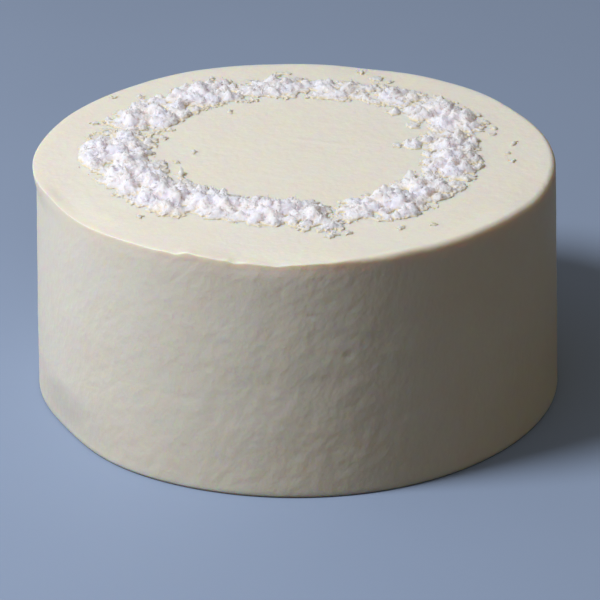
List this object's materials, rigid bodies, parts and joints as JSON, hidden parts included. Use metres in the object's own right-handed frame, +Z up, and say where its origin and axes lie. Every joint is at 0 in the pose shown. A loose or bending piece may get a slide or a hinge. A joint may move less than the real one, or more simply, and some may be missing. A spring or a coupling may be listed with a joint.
{
  "type": "pandan chiffon cake",
  "caption": "Whole round cake under a smooth coat of ivory icing, with a loose ring of white coconut flakes on its flat top.",
  "frame": {"origin": "middle of the flat foot that the cake stands on", "axes": "+Z up through the middle of the cake, -Y towards the side that faces the camera in the picture, +X to its right"},
  "size_m": [0.2092, 0.2082, 0.1003],
  "materials": {
    "icing": "soft satin, like whipped cream icing",
    "coconut": "matte and slightly translucent"
  },
  "bodies": {
    "root": {"iced_cake": "icing"}
  },
  "joints": []
}
